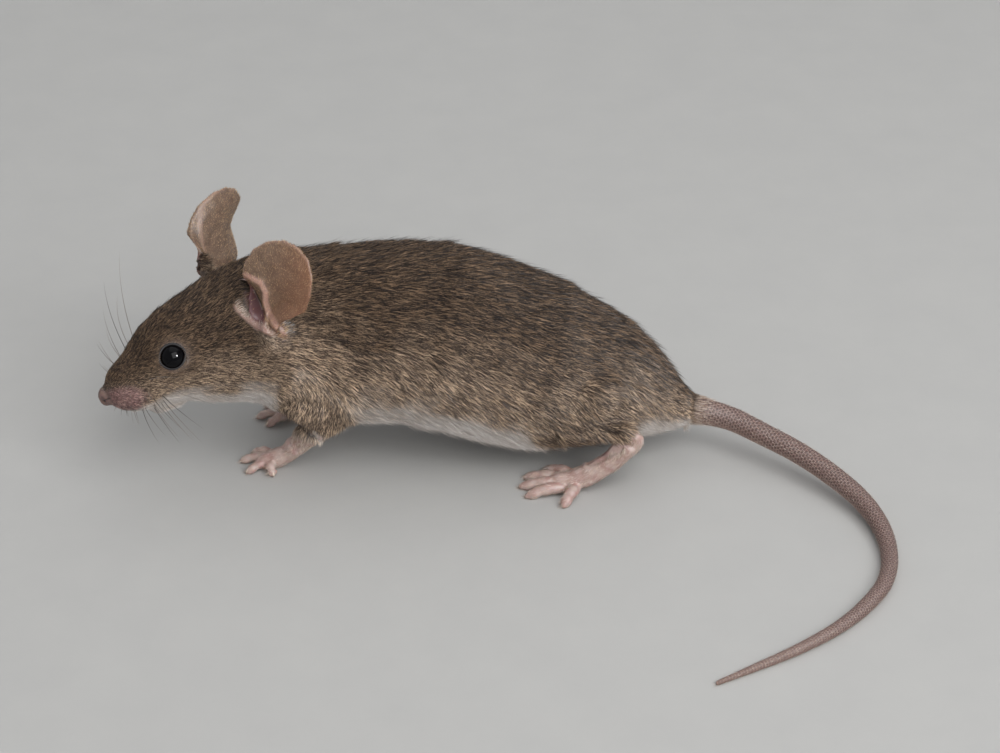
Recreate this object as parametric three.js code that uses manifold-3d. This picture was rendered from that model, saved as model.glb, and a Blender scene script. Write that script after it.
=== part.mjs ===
// A life-size house mouse, standing low on four feet with its tail curled round on the ground.
// Millimetres. The nose points to -X, the mouse's left side is -Y, +Z is up, and it stands on z = 0.
// The solids reach out to the tips of the coat. The body is shaped whole and then parted by thin cuts.
import * as THREE from "three";
import { mergeVertices } from "three/addons/utils/BufferGeometryUtils.js";
import Module from "manifold-3d";

const wasm = await Module();
wasm.setup();

// ---- Driving dimensions -------------------------------------------------------------------------

const GAP = 0.3; // width of the thin cuts between neighbouring parts
const SLIVER = 0.01; // faces thinner than this, where parts were joined or cut, are closed up

// The body from nose to tail root. Each station is a section across the spine: where its centre is, its
// half width, its height above and below the centre, how much wider it is below than above, and how far,
// in degrees, its left side is tilted up.
const BODY = {
  noseTip: { at: [-50.7, -11.5, 14.3], wide: 1.2, up: 1.1, down: 1.2, roll: 12 },
  muzzle: { at: [-49.4, -10.9, 14.8], wide: 2.9, up: 2.7, down: 3.1, pear: 0.05, roll: 12 },
  whiskerPad: { at: [-46.5, -9.4, 15.9], wide: 4.3, up: 4.2, down: 4.4, pear: 0.1, roll: 12 },
  eyes: { at: [-42.5, -7.3, 17.6], wide: 5.9, up: 6.6, down: 6.3, pear: 0.1, roll: 12 },
  cheeks: { at: [-38.0, -5.0, 18.2], wide: 7.8, up: 8.3, down: 7.9, pear: 0.12, roll: 12 },
  ears: { at: [-33.2, -3.0, 18.6], wide: 9.3, up: 9.9, down: 9.3, pear: 0.12, roll: 12 },
  nape: { at: [-28.6, -1.9, 18.4], wide: 10.2, up: 11.3, down: 10.6, pear: 0.1, roll: 6 },
  shoulders: { at: [-24.2, -1.2, 17.6], wide: 11.2, up: 12.1, down: 11.4, pear: 0.1, roll: 2 },
  ribs: { at: [-19.0, -0.7, 17.3], wide: 12.0, up: 12.4, down: 11.9, pear: 0.1 },
  back: { at: [-13.0, -0.2, 17.5], wide: 12.6, up: 12.2, down: 12.0, pear: 0.1 },
  flank: { at: [-6.6, 0, 16.4], wide: 13.0, up: 12.3, down: 12.2, pear: 0.1 },
  loin: { at: [0, -0.2, 14.5], wide: 13.0, up: 11.8, down: 12.2, pear: 0.1 },
  hips: { at: [6.6, -0.6, 12.5], wide: 12.2, up: 10.9, down: 11.3, pear: 0.08 },
  thighs: { at: [13.2, -1.0, 10.9], wide: 10.0, up: 8.8, down: 9.3, pear: 0.05 },
  rump: { at: [18.8, -1.5, 8.7], wide: 7.2, up: 6.1, down: 7.4 },
  tailHead: { at: [22.6, -1.9, 7.1], wide: 4.0, up: 3.7, down: 4.4 },
  tailRoot: { at: [25.8, -2.0, 6.2], wide: 2.2, up: 2.1, down: 2.2 },
};
const BODY_MESH = { around: 18, rows: 34, crowd: 0.25 }; // crowd packs the rings towards the nose

// The body's parts from nose to tail, and the stations that part them, each with a shift in stations.
const BODY_NAMES = ["head", "neck", "chest", "belly", "rump"];
const BODY_CUTS = [["ears", 0.75], ["shoulders", 0.2], ["flank", -0.5], ["hips", -0.2], ["tailRoot", -0.2]];

// The tail lifts off the rump, sinks to the ground and curls back towards the mouse's left.
const TAIL = [
  { at: [24.8, -2.1, 6.5], r: 1.8 },
  { at: [30.5, -3.4, 5.6], r: 1.6 },
  { at: [34.8, -6.0, 4.8], r: 1.5 },
  { at: [39.2, -9.1, 4.0], r: 1.45 },
  { at: [43.4, -13.1, 3.1], r: 1.4 },
  { at: [46.9, -17.6, 2.2], r: 1.3 },
  { at: [48.8, -22.2, 1.5], r: 1.2 },
  { at: [49.3, -27.6, 1.05], r: 1.1 },
  { at: [48.1, -33.2, 0.96], r: 1.03 },
  { at: [45.3, -37.8, 0.88], r: 0.95 },
  { at: [41.4, -42.1, 0.75], r: 0.82 },
  { at: [36.1, -46.2, 0.61], r: 0.68 },
  { at: [30.3, -49.7, 0.42], r: 0.48 },
  { at: [25.4, -52.5, 0.24], r: 0.27 },
];
const TAIL_MESH = { around: 8, rows: 32 };
const TAIL_NAMES = ["tail_root", "tail_upper", "tail_middle", "tail_lower", "tail_tip"];

// The skull's own frame, at the spine between the ears: it is turned to the left, tipped down and tilted.
const SKULL = { at: [-33.2, -3.0, 18.6], yaw: 25.5, pitch: 13, roll: 12 };

// Places in the skull's frame: forward, to the left and up. What is on the left is also on the right.
const EYE = { at: [10.6, 4.2, 3.15], r: 1.7 };
const NOSE_PAD = { at: [19.4, 0, 0.5], r: [1.6, 1.4, 1.1] };
const CHIN = { at: [12.2, 0, -3.0], r: [4.2, 2.6, 2.3] };
const WHISKER_PAD = { at: [15.2, 2.0, -0.5], r: [3.6, 2.3, 2.6] };
const BROW = { at: [10.8, 3.4, 3.4], r: [3.0, 1.7, 1.9] };

// Each ear is a cupped oval that flares back at its tip: its centre, the way it opens and the way it stands.
// The mouse turns its ears one by one, so they are not mirror images.
const EARS = {
  left: { at: [-2.7, 11.5, 8.0], opens: [0.75, 0.63, 0.2], stands: [-0.43, 0.24, 0.87] },
  right: { at: [-2.2, -10.9, 9.3], opens: [0.64, -0.77, 0.09], stands: [-0.46, -0.25, 0.85] },
};
const PINNA = {
  halfWide: 6.5,
  halfHigh: 7.3,
  thick: 0.8,
  thicker: 0.6, // how much thicker it is at the base
  cup: 1.6, // how far the middle sinks below the rim
  flare: 0.7, // how far the tip bends back
  curl: 2.6, // how far the edges roll forward at the base
  taper: 0.45, // how much narrower the base is than the top
  around: 18,
  rows: 8,
};
// The tube that carries the ear: how low on the oval it starts, its reach down and back, its radius.
const EAR_ROOT = { low: -0.7, down: 2.4, back: 1, r: 2.0 };

// Legs on the left. The right ones mirror them in the plane y = midline. A leg part covers the room of its
// haunch and shank: whatever of the body lies in that room belongs to it.
const FORE = {
  midline: -0.9,
  rightStep: [1.4, 0.9], // how far back and out the right forepaw is set from the left one's mirror image
  bones: [[-24.5, -8.4, 12.5], [-23.6, -8.0, 8.4], [-25.7, -7.3, 5.4]],
  boneR: [4.6, 2.7, 1.9],
  haunch: { at: [-24.4, -9.4, 11.4], r: [6.0, 4.8, 6.0], turnY: -14 },
  shank: { from: [-23.6, -8.0, 8.4], to: [-25.7, -7.3, 5.4], r: [3.6, 2.2] },
  sole: [[-25.7, -7.3, 5.4], [-27.7, -6.7, 2.6], [-30.0, -6.5, 1.15], [-31.3, -6.6, 0.9]],
  soleR: [1.6, 1.25, 1.4, 1.2],
  // Each toe: where it leaves the paw and where it ends on the ground.
  toes: [
    { from: [-30.6, -5.0], to: [-32.6, -3.9] },
    { from: [-30.6, -5.9], to: [-34.0, -5.7] },
    { from: [-30.6, -6.8], to: [-33.1, -8.2] },
    { from: [-30.6, -7.7], to: [-30.1, -8.9] },
  ],
  toeR: 0.56,
};
const HIND = {
  midline: -0.8,
  bones: [[11.5, -7.4, 12.5], [4.6, -9.4, 8.6], [10.4, -10.4, 9.4], [13.0, -10.9, 8.9]],
  boneR: [5.2, 3.4, 2.3, 1.7],
  muscle: { at: [8.6, -7.9, 10.9], r: [7.8, 4.4, 6.2], turnY: 18, turnZ: -4 },
  haunch: { at: [9.1, -10.3, 10.5], r: [8.7, 5.3, 6.9], turnY: 25, turnZ: -9 },
  shank: { from: [10.4, -10.4, 9.4], to: [13.0, -10.9, 8.9], r: [3.2, 2.1] },
  sole: [[13.0, -10.9, 8.9], [16.9, -11.6, 8.4], [14.5, -11.6, 4.4], [9.8, -11.6, 1.3], [7.6, -11.6, 1.05]],
  soleR: [1.6, 1.75, 1.5, 1.45, 1.2],
  toes: [
    { from: [9.8, -10.1], to: [6.2, -7.9] },
    { from: [8.2, -11.0], to: [3.6, -9.6] },
    { from: [8.2, -12.0], to: [3.0, -11.7] },
    { from: [8.2, -12.9], to: [3.8, -13.8] },
    { from: [10.0, -12.9], to: [8.4, -15.9] },
  ],
  toeR: 0.6,
};
const TOE_HEIGHTS = { root: 0.97, arch: 0.55, tip: 0.5, claw: 0.24 }; // the arch adds to the toe's radius
const CLAW = { reach: 0.34, r: 0.2 }; // reach as a share of the toe's front half

// ---- Shape tools --------------------------------------------------------------------------------

const UP = new THREE.Vector3(0, 0, 1);
const vec = (a) => new THREE.Vector3(...a);
const radians = THREE.MathUtils.degToRad;
const smoothLine = (points) => new THREE.CatmullRomCurve3(points.map(vec), false, "centripetal");

// A closed mesh as a solid, its faces turned outwards.
function solid(geometry, matrix = new THREE.Matrix4()) {
  const g = geometry.clone().applyMatrix4(matrix);
  g.deleteAttribute("normal");
  g.deleteAttribute("uv");
  const merged = mergeVertices(g, 1e-4);
  const vertProperties = new Float32Array(merged.attributes.position.array);
  const triVerts = new Uint32Array(merged.index.array);
  const made = new wasm.Manifold(new wasm.Mesh({ numProp: 3, vertProperties, triVerts }));
  if (made.volume() > 0) return made;
  return new wasm.Manifold(new wasm.Mesh({ numProp: 3, vertProperties, triVerts: triVerts.reverse() }));
}

const join = (solids) => solids.reduce((a, b) => a.add(b));

// A skin over a row of rings, each { centre, side, top, wide, up, down, pear }, closed at its two ends.
function skin(rings, around) {
  const geometry = new THREE.SphereGeometry(1, around, rings.length - 1);
  const position = geometry.attributes.position;
  const uv = geometry.attributes.uv;
  for (let i = 0; i < position.count; i++) {
    const ring = rings[Math.round((1 - uv.getY(i)) * (rings.length - 1))];
    const angle = 2 * Math.PI * Math.floor(uv.getX(i) * around + 0.5) / around;
    const c = Math.cos(angle);
    const s = Math.sin(angle);
    const p = ring.centre.clone();
    p.addScaledVector(ring.side, ring.wide * c * (1 - ring.pear * s));
    p.addScaledVector(ring.top, s * (s > 0 ? ring.up : ring.down));
    position.setXYZ(i, p.x, p.y, p.z);
  }
  return solid(geometry);
}

// Rings along a smooth line through stations, with rounded ends. Each station has at, wide, up and down.
function ringsAlong(stations, { rows, capRows = 3, crowd = 0 }) {
  const line = smoothLine(stations.map((s) => s.at));
  const through = (values) => new THREE.CatmullRomCurve3(values, false, "catmullrom");
  const sizes = through(stations.map((s) => new THREE.Vector3(s.wide, s.up, s.down)));
  const shapes = through(stations.map((s, i) => new THREE.Vector3(i, s.pear ?? 0, s.roll ?? 0)));
  const ringAt = (t) => {
    const ahead = line.getTangent(t);
    const size = sizes.getPoint(t);
    const shape = shapes.getPoint(t);
    const side = new THREE.Vector3().crossVectors(ahead, UP).normalize();
    side.applyAxisAngle(ahead, -radians(shape.z));
    const top = new THREE.Vector3().crossVectors(side, ahead);
    const centre = line.getPoint(t);
    return { centre, ahead, side, top, wide: size.x, up: size.y, down: size.z, pear: shape.y };
  };
  const cap = (end, sign) => Array.from({ length: capRows }, (_, i) => {
    const angle = (Math.PI / 2) * (i / capRows);
    const reach = Math.min(end.wide, end.up) * Math.cos(angle);
    const k = Math.sin(angle);
    const centre = end.centre.clone().addScaledVector(end.ahead, sign * reach);
    return { ...end, centre, wide: end.wide * k, up: end.up * k, down: end.down * k };
  });
  const middle = Array.from({ length: rows + 1 }, (_, i) => {
    const t = i / rows;
    return ringAt(t * (1 - crowd) + t * t * crowd);
  });
  return [...cap(middle[0], -1), ...middle, ...cap(middle[rows], 1).reverse()];
}

const round = (at, r) => ({ at, wide: r, up: r, down: r });

// A round limb through points with radii, with ball ends.
function limb(points, radii, { around, rows, capRows = 2 }) {
  return skin(ringsAlong(points.map((p, i) => round(p, radii[i])), { rows, capRows }), around);
}

// An egg with half sizes r at a place, turned about Y and then about Z, in degrees.
function egg({ at, r, turnY = 0, turnZ = 0 }, grow = 0) {
  const m = new THREE.Matrix4().makeTranslation(...at)
    .multiply(new THREE.Matrix4().makeRotationZ(radians(turnZ)))
    .multiply(new THREE.Matrix4().makeRotationY(radians(turnY)))
    .multiply(new THREE.Matrix4().makeScale(r[0] + grow, r[1] + grow, r[2] + grow));
  return solid(new THREE.SphereGeometry(1, 8, 6), m);
}

// All space ahead of a plane through a point, as a large block.
function ahead(point, normal, shift = 0) {
  const size = 300;
  const facing = normal.clone().normalize();
  const turn = new THREE.Quaternion().setFromUnitVectors(UP, facing);
  const centre = point.clone().addScaledVector(facing, shift + size / 2);
  const m = new THREE.Matrix4().compose(centre, turn, new THREE.Vector3(1, 1, 1));
  return solid(new THREE.BoxGeometry(size, size, size), m);
}
const overGround = ahead(new THREE.Vector3(), UP);

// The largest of the separate lumps in a solid.
const mainLump = (made) => made.decompose().reduce((a, b) => (a.volume() > b.volume() ? a : b));

// Cuts a solid by planes { point, normal } in a row, and gives the lengths between them.
function lengths(whole, planes) {
  return [...planes, null].map((plane, i) => {
    let piece = whole;
    if (i > 0) piece = piece.intersect(ahead(planes[i - 1].point, planes[i - 1].normal, GAP / 2));
    if (plane) piece = piece.subtract(ahead(plane.point, plane.normal, -GAP / 2));
    return piece;
  });
}

// ---- The body -----------------------------------------------------------------------------------

const skullFrame = (() => {
  const yaw = radians(SKULL.yaw);
  const pitch = radians(SKULL.pitch);
  const forward = new THREE.Vector3(
    -Math.cos(yaw) * Math.cos(pitch), -Math.sin(yaw) * Math.cos(pitch), -Math.sin(pitch));
  const left = new THREE.Vector3(Math.sin(yaw), -Math.cos(yaw), 0)
    .applyAxisAngle(forward, radians(SKULL.roll));
  const top = new THREE.Vector3().crossVectors(forward, left);
  return new THREE.Matrix4().makeBasis(forward, left, top).setPosition(vec(SKULL.at));
})();
const onSkull = ([forward, left, up], side = 1) =>
  new THREE.Vector3(forward, left * side, up).applyMatrix4(skullFrame);

// Whisker pads, nose pad, chin and brows, which stand out from the head's plain taper.
const headForms = (grow) => [
  [NOSE_PAD, 1], [CHIN, 1], [WHISKER_PAD, 1], [WHISKER_PAD, -1], [BROW, 1], [BROW, -1],
].map(([{ at, r }, side]) => egg(
  { at: onSkull(at, side).toArray(), r, turnY: -SKULL.pitch, turnZ: SKULL.yaw }, grow));

// Head, neck and trunk in one, grown outwards by a margin.
function trunk(grow = 0) {
  const stations = Object.values(BODY).map((s) => (
    { ...s, wide: s.wide + grow, up: s.up + grow, down: s.down + grow }));
  return join([skin(ringsAlong(stations, BODY_MESH), BODY_MESH.around), ...headForms(grow)]);
}

const tail = () => limb(TAIL.map((s) => s.at), TAIL.map((s) => s.r), TAIL_MESH);

const eyeball = (side, grow = 0) => solid(
  new THREE.SphereGeometry(EYE.r + grow, 12, 8),
  new THREE.Matrix4().setPosition(onSkull(EYE.at, side)));

// The ear as a flattened ball: its rings run from the middle of the back over the rim to the front's middle.
function pinna({ at, opens, stands }) {
  const { around, rows } = PINNA;
  const facing = vec(opens).normalize();
  const high = vec(stands).projectOnPlane(facing).normalize();
  const wide = new THREE.Vector3().crossVectors(high, facing);
  const place = (p, q, depth) => vec(at)
    .addScaledVector(wide, p * PINNA.halfWide)
    .addScaledVector(high, q * PINNA.halfHigh)
    .addScaledVector(facing, depth)
    .applyMatrix4(skullFrame);
  const geometry = new THREE.SphereGeometry(1, around, rows);
  const position = geometry.attributes.position;
  const uv = geometry.attributes.uv;
  for (let i = 0; i < position.count; i++) {
    const v = Math.round(uv.getY(i) * rows) / rows;
    const angle = 2 * Math.PI * Math.floor(uv.getX(i) * around + 0.5) / around;
    const r = 1 - Math.abs(1 - 2 * v);
    const q = r * Math.sin(angle);
    const p = r * Math.cos(angle) * (1 - PINNA.taper * (1 - q) / 2);
    const low = Math.max(0, -q);
    const tip = Math.max(0, q) ** 2;
    const depth = PINNA.cup * (p * p - 1) - PINNA.flare * tip + PINNA.curl * p * p * low;
    const half = (PINNA.thick / 2) * Math.sqrt(Math.max(0, 1 - r ** 6)) * (1 + PINNA.thicker * low);
    const spot = place(p, q, depth + Math.sign(v - 0.5) * half);
    position.setXYZ(i, spot.x, spot.y, spot.z);
  }
  const start = place(0, EAR_ROOT.low, -PINNA.cup);
  const end = place(0, EAR_ROOT.low - EAR_ROOT.down / PINNA.halfHigh, -PINNA.cup - EAR_ROOT.back);
  const root = limb([start.toArray(), end.toArray()], [EAR_ROOT.r, EAR_ROOT.r], { around: 8, rows: 1 });
  return solid(geometry).add(root);
}

// A toe that arches from its root to its tip on the ground, and tapers there into a thin claw.
function toe({ from, to }, r) {
  const mid = [(from[0] + to[0]) / 2, (from[1] + to[1]) / 2];
  const end = to.map((v, i) => v + (v - mid[i]) * CLAW.reach);
  return limb(
    [
      [...from, TOE_HEIGHTS.root],
      [...mid, r + TOE_HEIGHTS.arch],
      [...to, TOE_HEIGHTS.tip],
      [...end, TOE_HEIGHTS.claw],
    ],
    [r * 1.15, r, r * 0.85, CLAW.r],
    { around: 6, rows: 4, capRows: 1 });
}

// A leg on the left: its flesh inside the body's outline, the room that its upper part takes, and its paw.
const leg = ({ bones, boneR, muscle, haunch, shank, sole, soleR, toes, toeR }) => ({
  flesh: join([
    limb(bones, boneR, { around: 8, rows: bones.length }),
    ...(muscle ? [egg(muscle)] : []),
  ]),
  room: (grow) => join([
    egg(haunch, grow),
    limb([shank.from, shank.to], shank.r.map((r) => r + grow), { around: 8, rows: 1 }),
  ]),
  paw: join([
    limb(sole, soleR, { around: 7, rows: sole.length + 1 }),
    ...toes.map((t) => toe(t, toeR)),
  ]),
});

// ---- Parting into nodes -------------------------------------------------------------------------

const SIDES = [["left", 1], ["right", -1]];
const LEGS = [
  { upper: "foreleg", paw: "forepaw", form: FORE, made: leg(FORE) },
  { upper: "thigh", paw: "hindfoot", form: HIND, made: leg(HIND) },
];
const onSide = (made, side, { midline, rightStep = [0, 0] }) => (
  side > 0 ? made : made.mirror([0, 1, 0]).translate([rightStep[0], 2 * midline + rightStep[1], 0]));

const parts = new Map();
const plainTrunk = trunk();
const grownTrunk = trunk(GAP);
let torso = plainTrunk;
const taken = [];
for (const [name, side] of SIDES) {
  for (const { upper, paw, form, made } of LEGS) {
    const flesh = onSide(made.flesh, side, form);
    const foot = onSide(made.paw, side, form);
    const room = onSide(made.room(GAP), side, form);
    const whole = join([plainTrunk, flesh, foot]);
    parts.set(`${upper}_${name}`, whole.intersect(onSide(made.room(0), side, form)));
    parts.set(`${paw}_${name}`, foot.subtract(room));
    torso = torso.add(flesh);
    taken.push(room);
  }
  parts.set(`ear_${name}`, pinna(EARS[name]).subtract(grownTrunk));
  parts.set(`eye_${name}`, eyeball(side));
  taken.push(eyeball(side, GAP));
}
torso = torso.subtract(join(taken));

const spine = smoothLine(Object.values(BODY).map((s) => s.at));
const stationNames = Object.keys(BODY);
const cuts = BODY_CUTS.map(([name, shift]) => {
  const t = (stationNames.indexOf(name) + shift) / (stationNames.length - 1);
  return { point: spine.getPoint(t), normal: spine.getTangent(t) };
});
const bodyLengths = lengths(torso, cuts);
BODY_NAMES.forEach((name, i) => parts.set(name, bodyLengths[i]));

const tailLine = smoothLine(TAIL.map((s) => s.at));
const tailCuts = TAIL_NAMES.slice(1).map((_, i) => {
  const t = (i + 1) / TAIL_NAMES.length;
  return { point: tailLine.getPoint(t), normal: tailLine.getTangent(t) };
});
const tailLengths = lengths(tail(), [cuts.at(-1), ...tailCuts]);
TAIL_NAMES.forEach((name, i) => parts.set(name, tailLengths[i + 1]));

// ---- The group ----------------------------------------------------------------------------------

const FUR = { color: 0x6b5a44, roughness: 0.9, metalness: 0 };
const BARE = { color: 0xc79a86, roughness: 0.6, metalness: 0 };
const SCALY = { color: 0x8d6f66, roughness: 0.7, metalness: 0 };
const WET = { color: 0x0a0a0c, roughness: 0.05, metalness: 0 };
const finishOf = (name) => {
  if (name.startsWith("eye")) return WET;
  if (name.startsWith("tail")) return SCALY;
  if (/^(ear|forepaw|hindfoot)/.test(name)) return BARE;
  return FUR;
};

const mouse = new THREE.Group();
for (const [name, piece] of parts) {
  const { vertProperties, triVerts } = mainLump(piece.intersect(overGround)).asOriginal().simplify(SLIVER).getMesh();
  const geometry = new THREE.BufferGeometry();
  geometry.setAttribute("position", new THREE.BufferAttribute(vertProperties, 3));
  geometry.setIndex(new THREE.BufferAttribute(triVerts, 1));
  geometry.computeVertexNormals();
  const mesh = new THREE.Mesh(geometry, new THREE.MeshStandardMaterial(finishOf(name)));
  mesh.name = name;
  mouse.add(mesh);
}

// The origin is under the middle of the whole mouse, on the ground.
const middle = new THREE.Box3().setFromObject(mouse).getCenter(new THREE.Vector3());
mouse.position.set(-middle.x, -middle.y, 0);

export default mouse;
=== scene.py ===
"""A life-size house mouse, stretched low on four feet with its tail curled round on the ground.

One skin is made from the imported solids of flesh: it is closed over their thin cuts, smoothed, carved with
the finer forms and sunk by the depth of the coat. Tufts of hair lie over it, and the eyes, claws and
whiskers are pieces of their own. Shapes are worked out in millimetres and made metres at the end.
"""
import math

import bmesh
import bpy
import numpy as np
from mathutils import Matrix, Vector
from mathutils.bvhtree import BVHTree


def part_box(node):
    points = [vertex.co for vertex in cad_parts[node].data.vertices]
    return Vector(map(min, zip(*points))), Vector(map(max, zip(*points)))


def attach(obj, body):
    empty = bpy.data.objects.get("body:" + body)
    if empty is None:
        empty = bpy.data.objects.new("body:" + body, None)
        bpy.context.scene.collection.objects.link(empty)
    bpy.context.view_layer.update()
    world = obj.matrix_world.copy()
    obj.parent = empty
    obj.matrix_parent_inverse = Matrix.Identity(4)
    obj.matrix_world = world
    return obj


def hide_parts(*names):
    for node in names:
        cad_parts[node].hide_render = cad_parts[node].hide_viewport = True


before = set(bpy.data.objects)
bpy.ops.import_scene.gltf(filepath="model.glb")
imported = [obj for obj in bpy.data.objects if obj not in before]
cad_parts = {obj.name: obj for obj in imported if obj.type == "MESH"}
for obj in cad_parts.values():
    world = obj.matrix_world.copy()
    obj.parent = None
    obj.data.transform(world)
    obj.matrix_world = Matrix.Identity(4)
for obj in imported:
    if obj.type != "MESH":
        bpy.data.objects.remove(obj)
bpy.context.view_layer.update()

MM = 0.001
SIDES = (("left", 1), ("right", -1))

# ---- Sizes and places ----

EYES = ["eye_left", "eye_right"]
TAIL_NODES = ["tail_root", "tail_upper", "tail_middle", "tail_lower", "tail_tip"]
FLESH = sorted(set(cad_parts) - set(EYES) - set(TAIL_NODES))

# The skull's own frame: its place in the part's own frame, and how it is turned, tipped and tilted.
SKULL_AT = (-33.2, -3.0, 18.6)
SKULL_YAW, SKULL_PITCH, SKULL_ROLL = 25.5, 13, 12

# Places in the skull's frame: forward, to the left and up.
EYE_AT = (10.6, 4.2, 3.15)
EYE_R = 1.7
EARS = {
    "left": {"at": (-2.7, 11.5, 8.0), "opens": (0.75, 0.63, 0.2), "stands": (-0.43, 0.24, 0.87)},
    "right": {"at": (-2.2, -10.9, 9.3), "opens": (0.64, -0.77, 0.09), "stands": (-0.46, -0.25, 0.85)},
}
EAR_HALF_WIDE, EAR_HALF_HIGH = 6.5, 7.3

# The spine, from between the ears to the tail, in the part's own frame.
SPINE = [(-33.2, -3.0, 18.6), (-24.2, -1.2, 17.6), (-13.0, -0.2, 17.5), (0.0, -0.2, 14.5),
         (13.2, -1.0, 10.9), (18.8, -1.5, 8.7), (25.8, -2.0, 6.2), (34.8, -6.0, 4.8)]

# The tail's centre line and radii, in the part's own frame.
TAIL = [(24.8, -2.1, 6.5, 1.8), (30.5, -3.4, 5.6, 1.6), (34.8, -6.0, 4.8, 1.5), (39.2, -9.1, 4.0, 1.45),
        (43.4, -13.1, 3.1, 1.4), (46.9, -17.6, 2.2, 1.3), (48.8, -22.2, 1.5, 1.2), (49.3, -27.6, 1.05, 1.1),
        (48.1, -33.2, 0.96, 1.03), (45.3, -37.8, 0.88, 0.95), (41.4, -42.1, 0.75, 0.82),
        (36.1, -46.2, 0.61, 0.68), (30.3, -49.7, 0.42, 0.48), (25.4, -52.5, 0.24, 0.27)]

# Legs on the left, in the part's own frame. The right ones mirror them in the plane y = midline and take a
# step. Flesh fills them out along a line with radii. The skin is furred at the first distance from its lower
# part, and bare at the second. Toes are shorter than their solids by a share, and plumper by a distance.
LEGS = {
    "fore": {"midline": -0.9, "right_step": (1.4, 0.9), "bare": (2.8, 1.2), "shorter": 0.02, "plump": 0.06,
             "flesh": [(-22.0, -7.2, 8.8, 2.6), (-24.4, -7.2, 5.8, 1.45), (-27.0, -7.2, 3.2, 1.0)],
             "toes": [((-30.6, -5.0), (-32.6, -3.9)), ((-30.6, -5.9), (-34.0, -5.7)),
                      ((-30.6, -6.8), (-33.1, -8.2)), ((-30.6, -7.7), (-30.1, -8.9))]},
    "hind": {"midline": -0.8, "right_step": (0, 0), "bare": (3.0, 1.7), "shorter": 0.13, "plump": 0.13,
             "flesh": [(15.8, -11.6, 9.3, 1.4), (17.5, -11.6, 7.6, 1.15), (15.1, -11.6, 5.0, 1.1),
                       (11.9, -11.6, 2.5, 1.0)],
             "toes": [((9.8, -10.1), (6.2, -7.9)), ((8.2, -11.0), (3.6, -9.6)), ((8.2, -12.0), (3.0, -11.7)),
                      ((8.2, -12.9), (3.8, -13.8)), ((10.0, -12.9), (8.4, -15.9))]},
}

TOE_HEIGHTS = (0.97, 1.12, 0.5)  # of a toe's root, middle and end
CLEAR = 0.02  # nothing lies lower over the floor than this

# The coat on each part: how deep it lies, how long and wide its tufts are, how crowded they are, and how far
# the shape under it is smoothed (0 to 1).
COAT = {
    "head": (0.55, 1.6, 0.058, 130, 0.5),
    "neck": (0.9, 2.5, 0.07, 84, 1.0),
    "chest": (1.0, 2.8, 0.074, 74, 1.0),
    "belly": (1.0, 2.9, 0.076, 70, 1.0),
    "rump": (1.0, 2.8, 0.076, 72, 1.0),
    "foreleg": (0.5, 1.8, 0.06, 90, 0.7),
    "thigh": (0.85, 2.5, 0.072, 74, 0.8),
    "forepaw": (-0.03, 0.8, 0.03, 14, 0.0),
    "hindfoot": (-0.1, 0.9, 0.03, 14, 0.0),
    "ear": (0.14, 0.38, 0.026, 50, 0.5),
}


def unit(vectors):
    """Vectors of length one."""
    return vectors / np.maximum(np.linalg.norm(vectors, axis=-1, keepdims=True), 1e-9)


def fade(values, low, high):
    """0 at low, 1 at high and smooth between them. Low may be the larger."""
    t = np.clip((values - low) / (high - low), 0, 1)
    return t * t * (3 - 2 * t)


def bell(values):
    """1 at 0, falling towards 0 on both sides."""
    return np.exp(-values ** 2)


def skull_axes():
    """The skull's forward, left and up directions, as rows."""
    yaw, pitch = math.radians(SKULL_YAW), math.radians(SKULL_PITCH)
    forward = Vector((-math.cos(yaw) * math.cos(pitch), -math.sin(yaw) * math.cos(pitch), -math.sin(pitch)))
    left = Vector((math.sin(yaw), -math.cos(yaw), 0))
    left.rotate(Matrix.Rotation(math.radians(SKULL_ROLL), 3, forward))
    return np.array([forward, left, forward.cross(left)])


AXES = skull_axes()
eye_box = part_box("eye_left")
# The frame's origin is under the middle of the whole mouse: this is how far the part's own frame is shifted.
SHIFT = np.array((eye_box[0] + eye_box[1]) / 2) / MM - (np.array(SKULL_AT) + np.array(EYE_AT) @ AXES)
SHIFT[2] = 0
SKULL = np.array(SKULL_AT) + SHIFT


def in_skull(points):
    """Points in the skull's frame."""
    return (points - SKULL) @ AXES.T


def from_skull(places):
    """Points of the skull's frame in the world."""
    return np.asarray(places, float) @ AXES + SKULL


def on_side(points, leg, side):
    """Points of a left leg, or of the right one for side -1, in the world."""
    points = np.array(points, float)
    if side < 0:
        points[..., 1] = 2 * leg["midline"] - points[..., 1] + leg["right_step"][1]
        points[..., 0] += leg["right_step"][0]
    return points + SHIFT


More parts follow.
